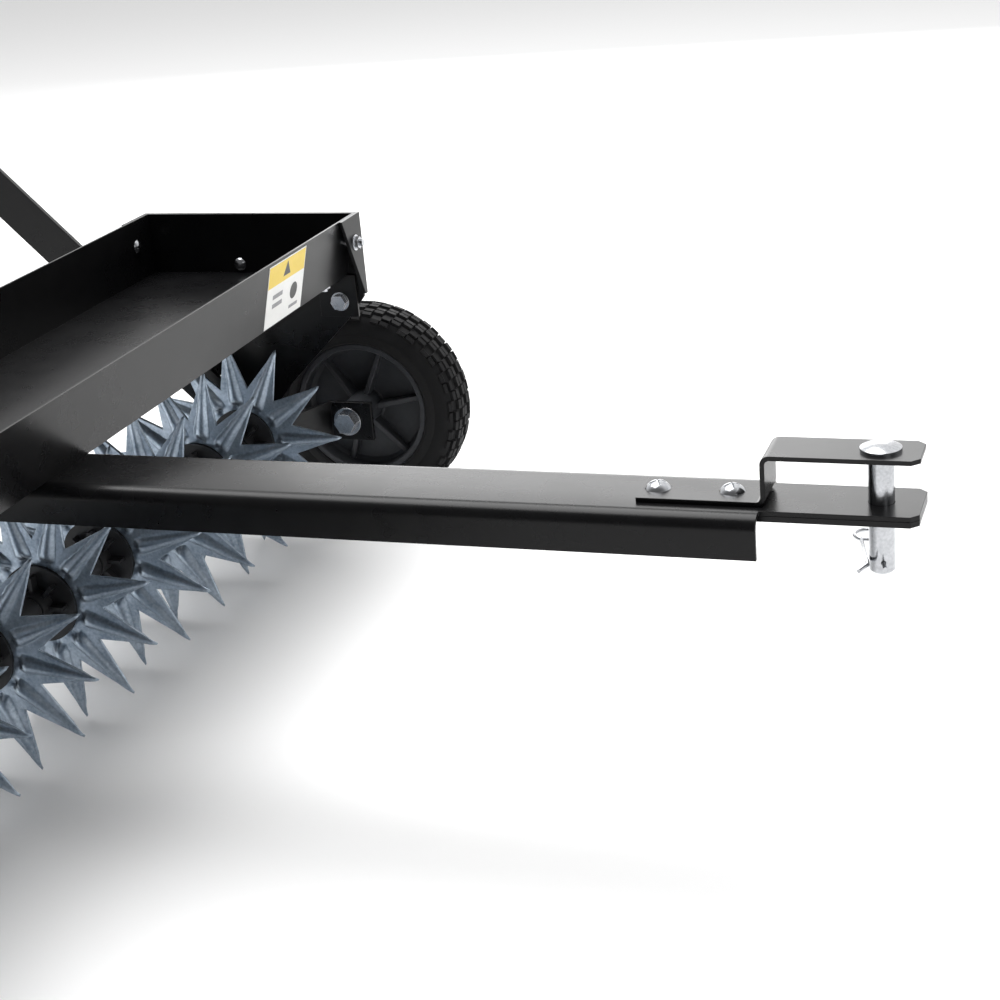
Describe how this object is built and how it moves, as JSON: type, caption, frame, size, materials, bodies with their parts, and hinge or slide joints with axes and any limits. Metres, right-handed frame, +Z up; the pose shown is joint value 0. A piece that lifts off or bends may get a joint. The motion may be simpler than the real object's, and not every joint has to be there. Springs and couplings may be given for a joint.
{
  "type": "tow-behind spike aerator",
  "caption": "Towed lawn aerator with a weight tray over a row of free-turning star discs, two wheels on a swinging lift handle, and a clevis drawbar with pin and clip.",
  "frame": {"origin": "on the ground, under the centre of the whole object's bounding box", "axes": "+X forward to the hitch, +Y to the left along the tray and the star axle, +Z up"},
  "size_m": [1.0624, 1.249, 0.4741],
  "materials": {
    "black_paint": "semi-gloss black powder coat",
    "zinc": "bright zinc plate",
    "galvanised": "blue-grey galvanised steel, dull",
    "black_plastic": "black moulded plastic",
    "wheel_grey": "dark grey moulded plastic",
    "tyre_rubber": "black moulded rubber with a block tread",
    "grip_rubber": "soft black rubber",
    "label_film": "printed film, yellow and white"
  },
  "bodies": {
    "chassis": {"weight_tray": "black_paint", "end_plate_left": "black_paint", "end_plate_right": "black_paint", "corner_bracket_left": "black_paint", "corner_bracket_right": "black_paint", "carriage_bolts": "zinc", "carriage_nuts": "zinc", "bracket_bolts": "zinc", "bracket_nuts": "zinc", "warning_label": "label_film", "drawbar": "black_paint", "hitch_plate": "black_paint", "hitch_strap": "black_paint", "hitch_screws": "zinc", "hitch_nuts": "zinc", "star_axle": "zinc", "axle_spacers": "black_plastic", "axle_washers": "zinc", "axle_nuts": "zinc"},
    "lift_handle": {"lift_bar_left": "black_paint", "lift_bar_right": "black_paint", "grip_tube": "black_paint", "hand_grip": "grip_rubber", "grip_bolts": "zinc", "clamp_bolt": "zinc", "wheel_bolts": "zinc", "wheel_washers": "zinc", "wheel_nuts": "zinc"},
    "clamp_knob": {"clamp_knob": "black_plastic"},
    "hitch_pin": {"hitch_pin": "zinc"},
    "hairpin_clip": {"hairpin_clip": "zinc"},
    "wheel_left": {"wheel_hub_left": "wheel_grey", "tyre_left": "tyre_rubber"},
    "wheel_right": {"wheel_hub_right": "wheel_grey", "tyre_right": "tyre_rubber"},
    "star_wheel_1": {"star_1": "galvanised", "star_hub_1": "black_plastic"},
    "star_wheel_2": {"star_2": "galvanised", "star_hub_2": "black_plastic"},
    "star_wheel_3": {"star_3": "galvanised", "star_hub_3": "black_plastic"},
    "star_wheel_4": {"star_4": "galvanised", "star_hub_4": "black_plastic"},
    "star_wheel_5": {"star_5": "galvanised", "star_hub_5": "black_plastic"},
    "star_wheel_6": {"star_6": "galvanised", "star_hub_6": "black_plastic"},
    "star_wheel_7": {"star_7": "galvanised", "star_hub_7": "black_plastic"},
    "star_wheel_8": {"star_8": "galvanised", "star_hub_8": "black_plastic"},
    "star_wheel_9": {"star_9": "galvanised", "star_hub_9": "black_plastic"},
    "star_wheel_10": {"star_10": "galvanised", "star_hub_10": "black_plastic"},
    "star_wheel_11": {"star_11": "galvanised", "star_hub_11": "black_plastic"}
  },
  "joints": [
    {"name": "handle_swing", "type": "hinge", "parent": "chassis", "child": "lift_handle", "pos_m": [-0.15876, 0, 0.1015], "axis": [0, -1, 0], "range_deg": [-6, 28]},
    {"name": "knob_turn", "type": "hinge", "parent": "lift_handle", "child": "clamp_knob", "pos_m": [-0.20117, -0.518, 0.14393], "axis": [0, -1, 0], "range_deg": [-180, 180]},
    {"name": "wheel_left_spin", "type": "hinge", "parent": "lift_handle", "child": "wheel_left", "pos_m": [-0.07976, 0.5825, 0.101], "axis": [0, 1, 0], "continuous": true},
    {"name": "wheel_right_spin", "type": "hinge", "parent": "lift_handle", "child": "wheel_right", "pos_m": [-0.07976, -0.5825, 0.101], "axis": [0, 1, 0], "continuous": true},
    {"name": "hitch_pin_lift", "type": "slide", "parent": "chassis", "child": "hitch_pin", "axis": [0, 0, 1], "range_m": [0, 0.024]},
    {"name": "clip_pull", "type": "slide", "parent": "hitch_pin", "child": "hairpin_clip", "axis": [-0.2419, 0.9703, 0], "range_m": [0, 0.03]},
    {"name": "star_1_spin", "type": "hinge", "parent": "chassis", "child": "star_wheel_1", "pos_m": [-0.15876, 0.46, 0.1015], "axis": [0, 1, 0], "continuous": true},
    {"name": "star_2_spin", "type": "hinge", "parent": "chassis", "child": "star_wheel_2", "pos_m": [-0.15876, 0.368, 0.1015], "axis": [0, 1, 0], "continuous": true},
    {"name": "star_3_spin", "type": "hinge", "parent": "chassis", "child": "star_wheel_3", "pos_m": [-0.15876, 0.276, 0.1015], "axis": [0, 1, 0], "continuous": true},
    {"name": "star_4_spin", "type": "hinge", "parent": "chassis", "child": "star_wheel_4", "pos_m": [-0.15876, 0.184, 0.1015], "axis": [0, 1, 0], "continuous": true},
    {"name": "star_5_spin", "type": "hinge", "parent": "chassis", "child": "star_wheel_5", "pos_m": [-0.15876, 0.092, 0.1015], "axis": [0, 1, 0], "continuous": true},
    {"name": "star_6_spin", "type": "hinge", "parent": "chassis", "child": "star_wheel_6", "pos_m": [-0.15876, 0, 0.1015], "axis": [0, 1, 0], "continuous": true},
    {"name": "star_7_spin", "type": "hinge", "parent": "chassis", "child": "star_wheel_7", "pos_m": [-0.15876, -0.092, 0.1015], "axis": [0, 1, 0], "continuous": true},
    {"name": "star_8_spin", "type": "hinge", "parent": "chassis", "child": "star_wheel_8", "pos_m": [-0.15876, -0.184, 0.1015], "axis": [0, 1, 0], "continuous": true},
    {"name": "star_9_spin", "type": "hinge", "parent": "chassis", "child": "star_wheel_9", "pos_m": [-0.15876, -0.276, 0.1015], "axis": [0, 1, 0], "continuous": true},
    {"name": "star_10_spin", "type": "hinge", "parent": "chassis", "child": "star_wheel_10", "pos_m": [-0.15876, -0.368, 0.1015], "axis": [0, 1, 0], "continuous": true},
    {"name": "star_11_spin", "type": "hinge", "parent": "chassis", "child": "star_wheel_11", "pos_m": [-0.15876, -0.46, 0.1015], "axis": [0, 1, 0], "continuous": true}
  ]
}
